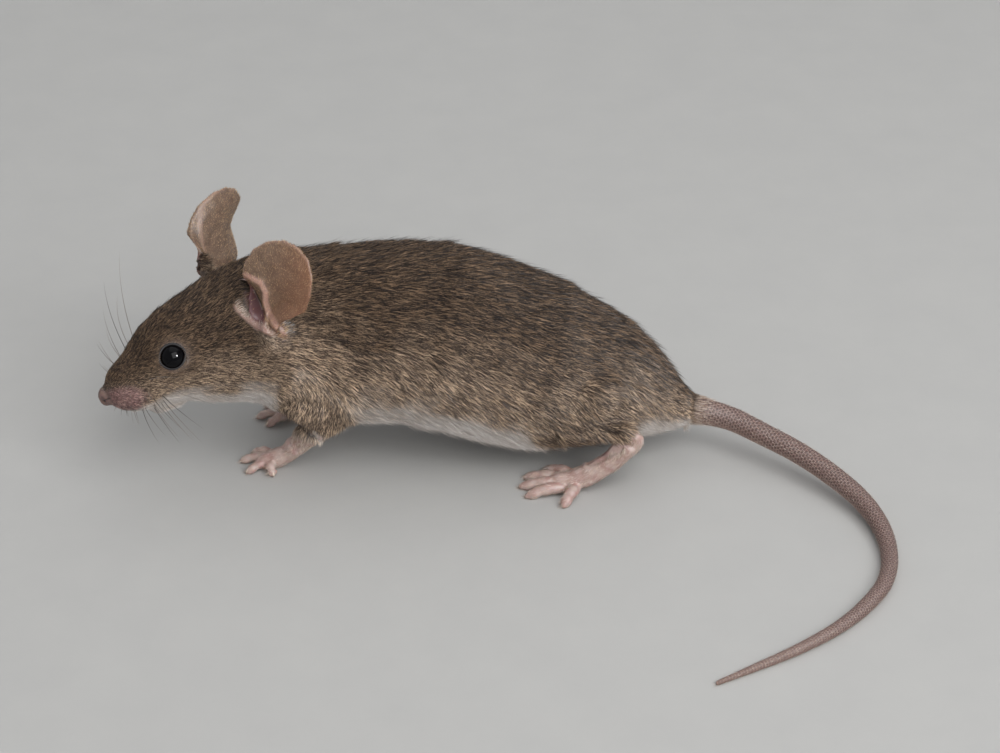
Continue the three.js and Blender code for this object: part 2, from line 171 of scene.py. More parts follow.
def smooth_line(points, count):
    """Evenly spread points along a smooth line through points (a centripetal Catmull-Rom spline)."""
    points = np.array(points, float)
    ends = np.vstack([2 * points[0] - points[1], points, 2 * points[-1] - points[-2]])
    found = []
    for i in range(1, len(ends) - 2):
        a, b, c, d = ends[i - 1:i + 3]
        t0, t1 = 0, np.linalg.norm((b - a)[:3]) ** 0.5
        t2 = t1 + np.linalg.norm((c - b)[:3]) ** 0.5
        t3 = t2 + np.linalg.norm((d - c)[:3]) ** 0.5
        t = np.linspace(t1, t2, 60, endpoint=i == len(ends) - 3)[:, None]
        ab = (t1 - t) / (t1 - t0) * a + (t - t0) / (t1 - t0) * b
        bc = (t2 - t) / (t2 - t1) * b + (t - t1) / (t2 - t1) * c
        cd = (t3 - t) / (t3 - t2) * c + (t - t2) / (t3 - t2) * d
        abc = (t2 - t) / (t2 - t0) * ab + (t - t0) / (t2 - t0) * bc
        bcd = (t3 - t) / (t3 - t1) * bc + (t - t1) / (t3 - t1) * cd
        found.append((t2 - t) / (t2 - t1) * abc + (t - t1) / (t2 - t1) * bcd)
    fine = np.vstack(found)
    along = np.r_[0, np.cumsum(np.linalg.norm(np.diff(fine[:, :3], axis=0), axis=1))]
    even = np.linspace(0, along[-1], count)
    return np.stack([np.interp(even, along, column) for column in fine.T], axis=1)


# ---- Meshes ----


def new_object(name, data, material=None):
    """An object of a mesh, lamp or camera, in the scene."""
    made = bpy.data.objects.new(name, data)
    bpy.context.scene.collection.objects.link(made)
    if material:
        data.materials.append(material)
    return made


def to_mesh(bm, name):
    """A bmesh made into a mesh, in millimetres still."""
    mesh = bpy.data.meshes.new(name)
    bm.to_mesh(mesh)
    bm.free()
    return mesh


def in_metres(made):
    """An object whose millimetres are made metres and whose faces are shaded smooth."""
    made.data.transform(Matrix.Scale(MM, 4))
    made.data.shade_smooth()
    made.data.update()
    return made


def read(items, key, wide=3, kind=np.float32):
    """One property of all of a mesh's vertices, edges or faces, as an array with a row for each."""
    found = np.empty(len(items) * wide, kind)
    items.foreach_get(key, found)
    return found.reshape(-1, wide)


def places_of(mesh):
    """A mesh's vertices as an array."""
    return read(mesh.vertices, "co").astype(float)


def set_places(mesh, places):
    """Moves a mesh's vertices."""
    mesh.vertices.foreach_set("co", places.astype(np.float32).ravel())
    mesh.update()


def normals_of(mesh):
    """A mesh's smooth normals as an array."""
    return read(mesh.vertices, "normal").astype(float)


def edges_of(mesh):
    """A mesh's edges as an array."""
    return read(mesh.edges, "vertices", 2, np.int32)


def spread(values, edges, rounds, share=0.5):
    """Values on a mesh's vertices, each drawn to the mean of its neighbours some rounds long."""
    flat = values.reshape(len(values), -1).astype(float)
    one, two = edges.T
    count = len(flat)
    degree = np.bincount(one, minlength=count) + np.bincount(two, minlength=count)
    share = np.broadcast_to(np.asarray(share, float).reshape(-1, 1), (count, 1))
    for _ in range(rounds):
        for k in range(flat.shape[1]):
            column = flat[:, k]
            total = np.bincount(one, column[two], count) + np.bincount(two, column[one], count)
            flat[:, k] = column + share[:, 0] * (total / np.maximum(degree, 1) - column)
    return flat.reshape(values.shape)


def relax(mesh, rounds, weight=1.0):
    """Smooths a mesh without shrinking it."""
    places, edges = places_of(mesh), edges_of(mesh)
    weight = np.broadcast_to(np.asarray(weight, float), (len(places),))
    edges = edges[(weight[edges] > 0.01).any(axis=1)]
    for _ in range(rounds):
        places = spread(places, edges, 1, 0.5 * weight)
        places = spread(places, edges, 1, -0.52 * weight)
    set_places(mesh, places)


def tube(bm, line, radii, around):
    """Adds a tube along a line, and returns its vertices with the ring and the turn of each."""
    line = np.array(line, float)
    ahead = unit(np.gradient(line, axis=0))
    side = unit(np.cross(ahead, (0.02, 0.01, 1)))
    top = np.cross(side, ahead)
    found = []
    for v in bmesh.ops.create_grid(bm, x_segments=len(line) - 1, y_segments=around, size=1)["verts"]:
        ring = round((v.co.x + 1) / 2 * (len(line) - 1))
        turn = math.pi * (v.co.y + 1)
        v.co = line[ring] + radii[ring] * (math.cos(turn) * side[ring] + math.sin(turn) * top[ring])
        found.append((v, ring, turn))
    return found


def closed(bm, name):
    """A mesh of tubes, their seams and ends merged."""
    bmesh.ops.remove_doubles(bm, verts=bm.verts, dist=2e-4)
    bmesh.ops.recalc_face_normals(bm, faces=bm.faces)
    return to_mesh(bm, name)


def value_of(mesh, name):
    """A number stored for each vertex."""
    return read(mesh.attributes[name].data, "value", 1)[:, 0].astype(float)


def set_value(mesh, name, values):
    """Stores a number for each vertex, for the materials."""
    layer = mesh.attributes.new(name, "FLOAT", "POINT")
    layer.data.foreach_set("value", np.asarray(values, np.float32))


FLOW = ("flow_x", "flow_y", "flow_z")  # the lie of the coat, kept on the skin's vertices


def set_values(mesh, values, flow):
    """Stores the numbers that each vertex has by name, and the lie of the coat there."""
    for name, found in (values | dict(zip(FLOW, flow.T))).items():
        set_value(mesh, name, found)


# ---- The skin ----

VOXEL = 0.21
CUT_REACH = 0.5  # flesh nearer than this to another part lies at a thin cut
CUT_GROWTH = 0.3  # and is grown by this much, to close it
RIM_THICK = 0.17
SMOOTH_ROUNDS, SOFT_ROUNDS, EAR_ROUNDS = 4, 45, 90  # of smoothing: all over, under soft coat and on the ears
SKIN_TRIANGLES = 170_000


def flesh_of(name):
    """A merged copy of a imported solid."""
    bm = bmesh.new()
    bm.from_mesh(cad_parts[name].data)
    bmesh.ops.scale(bm, vec=(1 / MM,) * 3, verts=bm.verts)
    bmesh.ops.remove_doubles(bm, verts=bm.verts, dist=0.0015)
    bm.normal_update()
    return bm


def closed_flesh(solids):
    """One mesh of all the solids, grown where thin cuts part them."""
    trees = {name: BVHTree.FromBMesh(bm) for name, bm in solids.items()}
    whole = bmesh.new()
    for name, bm in solids.items():
        others = [tree for other, tree in trees.items() if other != name]
        grown = bm.copy()
        grown.normal_update()
        near = [any(tree.find_nearest(v.co, CUT_REACH)[0] for tree in others) for v in grown.verts]
        for v, is_near in zip(grown.verts, near):
            if is_near:
                v.co += v.normal * CUT_GROWTH
        mesh = to_mesh(grown, "part")
        whole.from_mesh(mesh)
        if name.startswith("ear"):
            # A sharp rim is made thick enough to be closed over, by two copies to either side.
            facing = ear_frame(EARS[name[4:]])[1][2]
            for step in (RIM_THICK, -2 * RIM_THICK):
                mesh.transform(Matrix.Translation(Vector(facing) * step))
                whole.from_mesh(mesh)
        bpy.data.meshes.remove(mesh)
    for leg in LEGS.values():
        for _, side in SIDES:
            line = smooth_line(leg["flesh"], 30)
            for place, radius in zip(on_side(line[:, :3], leg, side), line[:, 3]):
                at = Matrix.Translation(Vector(place))
                bmesh.ops.create_icosphere(whole, subdivisions=3, radius=radius, matrix=at)
    return to_mesh(whole, "flesh")


def applied(made):
    """The object's mesh with its modifiers applied."""
    graph = bpy.context.evaluated_depsgraph_get()
    mesh = bpy.data.meshes.new_from_object(made.evaluated_get(graph))
    made.modifiers.clear()
    old = made.data
    made.data = mesh
    bpy.data.meshes.remove(old)
    return mesh


def tree_of(solids, names):
    """A search tree of some solids, and the number of the solid that each of its faces is on."""
    places, faces, owners = [], [], []
    for number, name in enumerate(names):
        bm = solids[name]
        base = len(places)
        places += [v.co.copy() for v in bm.verts]
        faces += [[base + v.index for v in face.verts] for face in bm.faces]
        owners += [number] * len(bm.faces)
    return BVHTree.FromPolygons(places, faces), np.array(owners)


class Regions:
    """Which part each point of the skin belongs to, and the coat's sizes there."""

    def __init__(self, solids):
        self.names = sorted(solids)
        self.tree, self.owners = tree_of(solids, self.names)

    def at(self, points):
        """The number of the part nearest to each point."""
        return self.owners[[self.tree.find_nearest(p)[2] for p in points.tolist()]]

    def mask(self, numbers, *words):
        """1 where the part's name starts with one of the words."""
        fits = np.array([name.startswith(words) for name in self.names], float)
        return fits[numbers]

    def coat(self, numbers, column):
        """A column of the coat's table for each point."""
        return np.array([COAT[name.split("_")[0]][column] for name in self.names])[numbers]


def ear_frame(ear):
    """An ear's middle and its wide, high and facing directions, in the world."""
    opens, stands = unit(np.array(ear["opens"], float)), np.array(ear["stands"], float)
    high = unit(stands - opens * (stands @ opens))
    wide = np.cross(high, opens)
    return from_skull(ear["at"]), np.array([wide, high, opens]) @ AXES


# An ear's forms, as shares of its half width and half height from its middle: the hollow that leads into
# the head, the deep of the cup, the fold that runs over the hollow and down behind it, and the lip under
# it. Each lies further back and up by the slant for each millimetre out of the ear.
HOLLOW = {"at": (-0.5, -0.25), "half": (0.25, 0.32), "lean": -0.75, "deep": 2.2}
CUP = {"at": (0.08, -0.28), "half": (0.22, 0.3), "lean": 0, "deep": 0.45}
FOLD = [(-0.98, 0.03), (-0.67, 0.19), (-0.32, 0.19), (-0.18, 0.06), (-0.13, -0.13), (0.0, -0.3),
        (0.26, -0.47), (0.49, -0.56)]
LIP = [(-0.98, -0.15), (-0.92, -0.35), (-0.7, -0.52), (-0.29, -0.62), (0.14, -0.63)]
FOLD_WIDE, FOLD_HIGH = 0.085, 0.42
SLANT = (0.062, 0.083)
EAR_REACH = 1.6  # how far from an ear's middle its forms may lie
LOBE_MOVE = (1.0, 1.0)  # how far back and up the ear's lower end is drawn
LOBE_END = (-0.6, -0.74)  # the ear ends and the head begins between these heights
RAY_FROM = 8.0  # the ear's face is looked for along rays that start this far out of it
PAST_EAR = -1.2  # how far the head is moved out where a ray misses the ear
# How far each ear's rims are drawn in towards its middle, or out of it below 0, at some heights from its
# middle: the outer rim, then the inner one.
RIM_MOVES = {
    "left": (((-1, 0.3), (-0.4, 0.36), (0, 0.05), (1, 0)), ((-1, 0), (1, 0))),
    "right": (((-0.2, 0), (0.1, 0.25), (0.3, 0.4), (0.5, 0.3), (0.8, 0)),
              ((-1, -0.2), (-0.5, -0.4), (0, -0.3), (0.4, -0.18), (0.9, 0))),
}


def dent(p, q, form):
    """How far in a round hollow each point is, 1 in its middle."""
    across = (p - form["at"][0] - form["lean"] * (q - form["at"][1])) / form["half"][0]
    return bell(across) * bell((q - form["at"][1]) / form["half"][1])


def along_path(points, path):
    """Each point's distance from a bent line, and how far along the line it is, from 0 to 1."""
    path = np.array(path, float)
    best = np.full(len(points), np.inf)
    share = np.zeros(len(points))
    for i, (one, two) in enumerate(zip(path, path[1:])):
        t = np.clip(((points - one) @ (two - one)) / ((two - one) @ (two - one)), 0, 1)
        apart = np.linalg.norm(points - one - t[:, None] * (two - one), axis=1)
        nearer = apart < best
        best = np.where(nearer, apart, best)
        share = np.where(nearer, (i + t) / (len(path) - 1), share)
    return best, share


def ear_place(places, name):
    """Points in an ear's frame: across and up as shares of its half width and height, and how far out."""
    middle, axes = ear_frame(EARS[name])
    local = (places - middle) @ axes.T
    side = 1 if name == "left" else -1
    return local[:, 0] / EAR_HALF_WIDE * side, local[:, 1] / EAR_HALF_HIGH, local[:, 2]


def slanted(p, q, out):
    """Places across and up an ear, moved back along the slant of its forms."""
    return np.stack([p - SLANT[0] * out, q - SLANT[1] * out])


def ear_masks(places, normals, is_ear):
    """How much of each point is an ear's hollow, fold, lip, outer side or rim, or lies below its lobe."""
    forms = {key: np.zeros(len(places)) for key in ("hollow", "fold", "lip", "outer", "rim", "below")}
    for name, _ in SIDES:
        p, q, out = ear_place(places, name)
        facing = ear_frame(EARS[name])[1][2]
        near = np.hypot(p, q) < EAR_REACH
        front = fade(normals @ facing, -0.1, 0.4) * near
        over = front * fade(out, -5, -4) * fade(out, 5.5, 4.5)
        spot = slanted(p, q, out)
        narrow = 1 - 0.45 * (1 - q) / 2
        forms["hollow"] += over * dent(*spot, HOLLOW)
        forms["fold"] += bell(along_path(spot.T, FOLD)[0] / FOLD_WIDE) * front * is_ear
        off, share = along_path(spot.T, LIP)
        forms["lip"] += bell(off / FOLD_WIDE) * over * fade(share, 0.1, 0.7)
        forms["outer"] += front * is_ear * fade(p, -0.5, 0.7)
        forms["below"] += near * fade(spot[1], *LOBE_END) * fade(np.abs(out), 5, 4)
        reach = np.hypot(p / narrow, q)
        forms["rim"] += near * is_ear * fade(reach, 0.93, 1.0) * fade(reach, 1.12, 1.04) * (q > -0.7)
    return forms


def carve_ears(places, normals, is_ear, solids):
    """Hollows, folds and lips, and the lower rims drawn in or out. The hollow is cut into the head too."""
    forms = ear_masks(places, normals, is_ear)
    moved = places.copy()
    for name, side in SIDES:
        axes = ear_frame(EARS[name])[1]
        p, q, out = ear_place(places, name)
        near = np.hypot(p, q) < EAR_REACH
        dented, cup = dent(*slanted(p, q, out), HOLLOW), dent(p, q, CUP)
        tree = BVHTree.FromBMesh(solids["ear_" + name])
        head = near * (1 - is_ear) * fade(dented, 0.12, 0.45) * fade(out, -4, -3) * (forms["hollow"] > 0)
        head *= fade(q, 0.22, -0.06)
        for i in np.flatnonzero(head > 0):
            start = Vector(places[i] + axes[2] * (RAY_FROM - out[i]))
            hit = tree.ray_cast(start, Vector(-axes[2]))[0]
            drop = RAY_FROM - (start - hit).length - out[i] if hit else PAST_EAR
            moved[i] += head[i] * (min(drop, 0) - HOLLOW["deep"] * dented[i]) * axes[2]
        ear = near * is_ear
        moved -= (ear * (dented * HOLLOW["deep"] + cup * CUP["deep"]))[:, None] * axes[2]
        moved += (near * (forms["fold"] + 0.5 * forms["lip"]) * FOLD_HIGH)[:, None] * axes[2]
        outer, inner = (np.interp(q, *zip(*moves)) for moves in RIM_MOVES[name])
        drawn = outer * fade(p, -0.35, 0.5) - inner * fade(p, 0.35, -0.5)
        moved -= (ear * drawn * EAR_HALF_WIDE * side)[:, None] * axes[0]
        lobe = ear * fade(q, -0.35, -0.95)
        moved += lobe[:, None] * (LOBE_MOVE[0] * side * axes[0] + LOBE_MOVE[1] * axes[1])
    return moved


LID_REACH = 3.4  # how far from an eye's middle the skin is shaped for its lids
LID_RISE = 0.72  # how far out from the eye's middle the skin of the lids lies
SOCKET, SOCKET_DEEP = (1.1, 1.5), 1.9  # within these distances the skin sinks behind the eyeball


def fit_lids(places, out, eye):
    """Draws the skin round an eye up to its lids, and sinks it behind the eyeball."""
    away = places - eye
    rise = away @ out
    across = np.linalg.norm(away - rise[:, None] * out, axis=1)
    near = (across < LID_REACH) & (rise > -2.2)
    lid = 0.95 * fade(across, LID_REACH, 1.6)
    want = rise + (LID_RISE - rise) * lid
    want = np.where(across < SOCKET[1], -SOCKET_DEEP + 2.0 * fade(across, *SOCKET), want)
    return np.where(near[:, None], places + (want - rise)[:, None] * out, places)


def eye_facts(places, normals):
    """Each eye's middle and the way that it looks, square to the skin round it."""
    found = {}
    for name, side in SIDES:
        low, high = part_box("eye_" + name)
        middle = np.array((low + high) / 2) / MM
        ring = np.abs(np.linalg.norm(places - middle, axis=1) - 3.2) < 0.7
        found[name] = (middle, unit(normals[ring].mean(0) + 0.12 * AXES[2] - 0.1 * AXES[0]))
    return found


def in_nostril(f, side, u):
    """How far in a nostril each point is: a round hole with a slit behind it."""
    hole = bell((side - 0.78) / 0.27) * bell((u - 0.05) / 0.25) * (f > 19)
    slit = bell((side - 1.2) / 0.35) * bell((u - 0.3 - 0.3 * (side - 1.2)) / 0.13) * (f > 18.5)
    return np.maximum(hole, 0.8 * slit)


def carve_muzzle(places):
    """Nostrils, the groove below them and the line of the mouth."""
    f, l, u = in_skull(places).T
    side = np.abs(l)
    head = f > 8
    nostril = in_nostril(f, side, u)
    groove = bell(side / 0.18) * fade(f, 17.5, 19) * fade(u, 0.6, -0.4) * fade(u, -3.2, -2.4)
    mouth_height = -2.35 + 0.10 * (17.5 - f) - 0.02 * (17.5 - f) ** 2
    mouth = bell((u - mouth_height) / 0.2) * fade(f, 12.6, 14.5)
    depth = 0.6 * nostril + 0.25 * groove + 0.4 * mouth
    return places - (depth * head)[:, None] * unit(places - from_skull((12, 0, -0.5)))


def thin_out(made, regions):
    """Lowers the number of faces, mostly where the coat hides the skin."""
    numbers = regions.at(places_of(made.data))
    hidden = regions.mask(numbers, "neck", "chest", "belly", "rump", "thigh", "foreleg")
    group = made.vertex_groups.new(name="hidden")
    for level, weight in ((0, 0.06), (1, 1.0)):
        group.add(np.flatnonzero(hidden == level).tolist(), weight, "REPLACE")
    thinner = made.modifiers.new("thinner", "DECIMATE")
    thinner.ratio = SKIN_TRIANGLES / (2 * len(made.data.polygons))
    thinner.vertex_group = group.name
    thinner.vertex_group_factor = 12.0
    mesh = applied(made)
    made.vertex_groups.clear()
    return mesh


TAIL_AROUND = 18
TAIL_SCALE = 0.42  # how far apart the rings of scales are
RINGS_EACH = 3
TAIL_COAT = 0.03


def tail_tube():
    """The tail as a long tube with a step at each ring of scales, running into the rump at its root."""
    line = np.array(TAIL, float)
    line[:, :3] += SHIFT
    root = line[0] - (line[1] - line[0]) * 0.75
    root[3] = 1.5
    line = smooth_line(np.vstack([root, line]), 2000)
    long = np.linalg.norm(np.diff(line[:, :3], axis=0), axis=1).sum()
    count = round(long / TAIL_SCALE) * RINGS_EACH + 1
    line = smooth_line(line[::10], count)
    along = np.linspace(0, long, count)
    step = np.arange(count) % RINGS_EACH / RINGS_EACH
    end = np.sqrt(np.clip((long - along) / 0.35, 0, 1))
    radii = (line[:, 3] - TAIL_COAT) * end + 0.03 * (1 - step) * end
    radii[0] = 0
    bm = bmesh.new()
    layers = {key: bm.verts.layers.float.new(key) for key in ("tail_along", "tail_c", "tail_s")}
    for v, ring, turn in tube(bm, line[:, :3], radii, TAIL_AROUND):
        v[layers["tail_along"]] = along[ring]
        v[layers["tail_c"]] = math.cos(turn)
        v[layers["tail_s"]] = math.sin(turn)
        v.co.z = max(v.co.z, CLEAR)
    mesh = closed(bm, "tail")
    found = value_of(mesh, "tail_along")
    ahead = unit(np.gradient(line[:, :3], axis=0))
    furred = fade(found, 9, 2)
    values = {
        "depth": 0.16 + 0.3 * furred, "hair": 0.75 + 1.3 * furred, "width": 0.02 + 0.035 * furred,
        "crowd": 11 + 60 * furred, "bare": 1 - 0.9 * fade(found, 7, 3),
        "low": 0.4 - 0.4 * value_of(mesh, "tail_s")}
    set_values(mesh, values, np.stack([np.interp(found, along, column) for column in ahead.T], axis=1))
    return mesh


def lid_ring(eye, out):
    """The rim of an eye's lids: a soft ring on the eyeball, a little thicker above."""
    bm = bmesh.new()
    bmesh.ops.create_grid(bm, x_segments=48, y_segments=10, size=1)
    up = unit(AXES[2] - out * (AXES[2] @ out))
    ahead = np.cross(up, out)
    polar = math.radians(64)
    for v in bm.verts:
        turn, roll = math.pi * (v.co.x + 1), math.pi * (v.co.y + 1)
        spoke = math.cos(turn) * ahead + math.sin(turn) * up
        front, back = (bell((math.cos(turn) - end) / 0.12) for end in (1, -1))
        thick = 0.15 + 0.04 * math.sin(turn)
        reach = EYE_R * math.sin(polar) + 0.1 + 0.12 * front + 0.1 * back
        centre = eye + out * (EYE_R * math.cos(polar) - 0.02) + spoke * reach
        v.co = centre + thick * (math.cos(roll) * spoke + 0.9 * math.sin(roll) * out)
    return closed(bm, "lid")


def make_skin():
    """The skin, with numbers on its vertices for the materials and the coat."""
    solids = {name: flesh_of(name) for name in FLESH}
    regions = Regions(solids)
    made = new_object("skin", closed_flesh(solids))
    closing = made.modifiers.new("closing", "REMESH")
    closing.mode = "VOXEL"
    closing.voxel_size = VOXEL
    mesh = applied(made)
    numbers = regions.at(places_of(mesh))
    soft = spread(regions.coat(numbers, 4), edges_of(mesh), 10)
    relax(mesh, SMOOTH_ROUNDS)
    relax(mesh, SOFT_ROUNDS, soft)
    relax(mesh, EAR_ROUNDS, spread(regions.mask(numbers, "ear"), edges_of(mesh), 3))
    places, normals = places_of(mesh), normals_of(mesh)
    eyes = eye_facts(places, normals)
    is_ear = spread(regions.mask(numbers, "ear"), edges_of(mesh), 6)
    places = carve_ears(places, normals, is_ear, solids)
    places = swell_toes(carve_muzzle(places), regions.mask(numbers, "forepaw", "hindfoot"))
    set_places(mesh, places)
    relax(mesh, 1)
    mesh = thin_out(made, regions)

    # The coat's depth and the other numbers, worked out on the thinned skin.
    places, normals, edges = places_of(mesh), normals_of(mesh), edges_of(mesh)
    numbers = regions.at(places)
    values = skin_values(places, normals, numbers, regions, edges, solids)
    flow = lie_of_coat(places, normals, numbers, regions, edges)
    sunk = places - normals * spread(values["depth"] * (1 - values["ear"]), edges, 2)[:, None]
    for name, _ in SIDES:
        sunk = fit_lids(sunk, eyes[name][1], eyes[name][0])
    sunk[:, 2] = np.maximum(sunk[:, 2], CLEAR)
    set_places(mesh, sunk)
    set_values(mesh, values, flow)
    for bm in solids.values():
        bm.free()
    return made, eyes


FAR = 4.0  # distances from the ears are looked for up to here

# The whisker pad, in the skull's frame: its middle, and how far it reaches forward, outward and up.
PAD_AT, PAD_HALF = (17.4, 2.0, -0.2), (4.6, 3.0, 2.5)


def skin_values(places, normals, numbers, regions, edges, solids):
    """What the materials and the coat need to know at each vertex of the skin."""
    f, l, u = in_skull(places).T
    on_head = regions.mask(numbers, "head")
    snout = on_head * fade(f, 8, 19.5)
    nose = on_head * fade(f, 19.3, 20.2) * fade(u, -1.7, -1.0) * fade(u, 1.7, 1.1)
    from_pad = (np.stack([f, np.abs(l), u], axis=1) - PAD_AT) / PAD_HALF
    pad = on_head * fade(np.linalg.norm(from_pad, axis=1), 1.2, 0.6)
    feet = regions.mask(numbers, "forepaw", "hindfoot")
    is_ear = spread(regions.mask(numbers, "ear"), edges, 3)
    forms = ear_masks(places, normals, is_ear)
    pit = fade(np.maximum(forms["hollow"], forms["lip"]), 0.15, 0.5)
    below = forms.pop("below")
    is_ear = np.maximum(is_ear * (1 - below), pit)
    below = below * regions.mask(numbers, "ear")
    ear_tree, _ = tree_of(solids, ["ear_left", "ear_right"])
    from_ear = np.array([ear_tree.find_nearest(p, FAR)[3] or FAR for p in places.tolist()])
    round_ear = np.maximum(fade(from_ear, 2.4, 0.2), fade(spread(pit, edges, 12), 0.0, 0.4)) * (1 - is_ear)
    round_eye = np.zeros(len(places))
    for name, _ in SIDES:
        low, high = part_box("eye_" + name)
        apart = np.linalg.norm(places - np.array((low + high) / 2) / MM, axis=1)
        round_eye += fade(apart, LID_REACH, 1.9)
    leg_end = np.zeros(len(places))
    for (kind, word), (_, side) in ((a, b) for a in (("fore", "foreleg"), ("hind", "thigh")) for b in SIDES):
        leg = LEGS[kind]
        line = on_side(np.array(leg["flesh"])[1:, :3], leg, side)
        leg_end += regions.mask(numbers, word) * fade(along_path(places, line)[0], *leg["bare"])
    leg_end += 0.8 * regions.mask(numbers, "foreleg") * fade(places[:, 2], 9.0, 4.5)
    leg_end = spread(np.clip(leg_end, 0, 1), edges, 8)
    limb = spread(regions.mask(numbers, "foreleg", "thigh"), edges, 16)
    limb_low = 0.45 - 0.07 * spread(regions.mask(numbers, "thigh"), edges, 16)
    tail_end = on_tail_root(places)

    def coat(column, at_nose):
        raw = regions.coat(numbers, column)
        raw = raw + (COAT["head"][column] - raw) * below
        raw = raw + (COAT["ear"][column] - raw) * is_ear
        return spread(raw + (at_nose - raw) * snout, edges, 8)

    even = unit(spread(normals, edges, 14))
    bare = np.maximum.reduce([spread(feet, edges, 8), is_ear, 0.9 * nose, 0.7 * pad, 0.9 * leg_end,
                               0.15 * round_ear])
    return {
        "depth": coat(0, 0.12) * (1 - 0.7 * nose) * (1 - 0.85 * tail_end) * (1 - 0.7 * round_eye)
        * (1 - 0.65 * round_ear) * (1 - 0.85 * leg_end) * (1 - 0.5 * pad),
        "hair": coat(1, 0.75) * (1 - 0.6 * nose) * (1 - 0.35 * tail_end) * (1 - 0.65 * round_eye)
        * (1 - 0.5 * round_ear) * (1 - 0.55 * leg_end) * (1 - 0.4 * forms["rim"])
        * (1 - 0.3 * pad) * (1 + 0.9 * forms["lip"]),
        "width": coat(2, 0.042) * (1 - 0.35 * round_ear) * (1 - 0.3 * round_eye) * (1 - 0.4 * leg_end),
        "crowd": coat(3, 190) * (1 - nose) * (1 - 0.55 * pad) * (1 - 0.6 * leg_end)
        * (1 - 0.95 * fade(forms["hollow"], 0.05, 0.35)),
        "bare": bare,
        "ear": is_ear,
        "nose": nose,
        "nostril": on_head * in_nostril(f, np.abs(l), u),
        "pad": pad,
        "short": np.clip(round_eye + 0.35 * round_ear, 0, 1),
        "low": spread((1 - even[:, 2]) / 2 * (1 - limb) + limb_low * limb + 0.25 * leg_end
                      - on_head * (0.05 + 0.1 * fade(u, 1, 6)) + 0.1 * regions.mask(numbers, "neck")
                      + 0.05 * regions.mask(numbers, "rump"), edges, 10),
        **forms,
    }


TOE_SWELLS = ((0.5, 0.14, 0.09), (0.72, 0.1, -0.05), (0.93, 0.1, 0.12))  # where along, how long, how high


def swell_toes(places, feet):
    """Knuckles and pads on the toes, which are plumper than their solids."""
    moved = places.copy()
    for kind, leg in LEGS.items():
        for _, side in SIDES:
            for start, end in leg["toes"]:
                middle = (np.array(start) + np.array(end)) / 2
                toe = [(*place, high) for place, high in zip((start, middle, end), TOE_HEIGHTS)]
                path = on_side(toe, leg, side)
                apart, share = along_path(places, path)
                near = (apart < 1.0) * (feet > 0.5) * fade(share, 0.05, 0.3)
                swell = leg["plump"] + sum(high * bell((share - at) / half) for at, half, high in TOE_SWELLS)
                line = np.stack([np.interp(share, (0, 0.5, 1), column) for column in path.T], axis=1)
                moved += (near * swell)[:, None] * unit(places - line) * np.array((1, 1, 0.6))
                moved -= (near * leg["shorter"] * share ** 2)[:, None] * (path[-1] - path[0])
    return moved


def on_tail_root(places):
    """1 where the rump narrows into the tail."""
    start = np.array(TAIL[0][:3]) + SHIFT
    ahead = unit(np.array(TAIL[1][:3]) - np.array(TAIL[0][:3]))
    return fade((places - start) @ ahead, -4.0, 0.5) * (np.linalg.norm(places - start, axis=1) < 7)


# The way that the hair lies on each part of the limbs, and how many rounds it is spread from there.
LIMB_LIES = {"foreleg": ((-0.25, 0, -1), 25), "thigh": ((0.85, 0, -0.6), 25),
             "forepaw": ((-0.8, 0, -0.5), 6), "hindfoot": ((-0.8, 0, -0.55), 6)}


def lie_of_coat(places, normals, numbers, regions, edges):
    """The way that the hair lies at each vertex, along the skin."""
    spine = smooth_line([np.array(p) + SHIFT for p in SPINE], 80)
    x = places[:, 0]
    tangent = unit(np.gradient(spine, axis=0))
    back = np.stack([np.interp(x, spine[:, 0], tangent[:, k]) for k in range(3)], axis=1)
    flank = 1 - np.abs(normals[:, 2])
    way = back + np.array((0, 0, -0.5)) * flank[:, None]
    head_way = -AXES[0] - AXES[2] * (0.25 * flank[:, None])
    head = spread(regions.mask(numbers, "head"), edges, 30)[:, None]
    way = head_way * head + way * (1 - head)
    for word, (direction, rounds) in LIMB_LIES.items():
        mask = spread(regions.mask(numbers, word), edges, rounds)[:, None]
        way = way * (1 - mask) + np.array(direction) * mask
    for name, _ in SIDES:
        middle, axes = ear_frame(EARS[name])
        p, q, out = ear_place(places, name)
        lobe = 1 - fade(slanted(p, q, out)[1], *LOBE_END)
        mask = spread(regions.mask(numbers, "ear_" + name) * lobe, edges, 4)[:, None]
        base = middle - axes[1] * EAR_HALF_HIGH
        way = way * (1 - mask) + unit(places - base) * mask
    way = way - normals * (way * normals).sum(1, keepdims=True)
    return unit(spread(unit(way), edges, 12))


# ---- The coat ----

COAT_NAMES = ["coat_muzzle", "coat_head", "coat_neck", "coat_shoulders", "coat_back", "coat_loin",
              "coat_hips", "coat_rump"]
COAT_TUFTS = 488_000
TUFT_PATCH = 0.003  # a tuft's patch on the map is about this far across
BLADE_VALUES = ("low", "bare", "ear", "lip", "pad", "short")  # kept for the tufts' material
ROOT_VALUES = (*BLADE_VALUES, "depth", "hair", "width", "tail_along")


def unwrap(made):
    """Lays the skin's faces out flat, and returns each face corner's place on that map."""
    bpy.ops.object.select_all(action="DESELECT")
    made.select_set(True)
    bpy.context.view_layer.objects.active = made
    made.data.uv_layers.new(name="OFBake")
    bpy.ops.object.mode_set(mode="EDIT")
    bpy.ops.mesh.select_all(action="SELECT")
    bpy.ops.uv.smart_project(angle_limit=1.15, island_margin=0.004, scale_to_bounds=True)
    bpy.ops.object.mode_set(mode="OBJECT")
    return read(made.data.uv_layers["OFBake"].uv, "vector", 2)


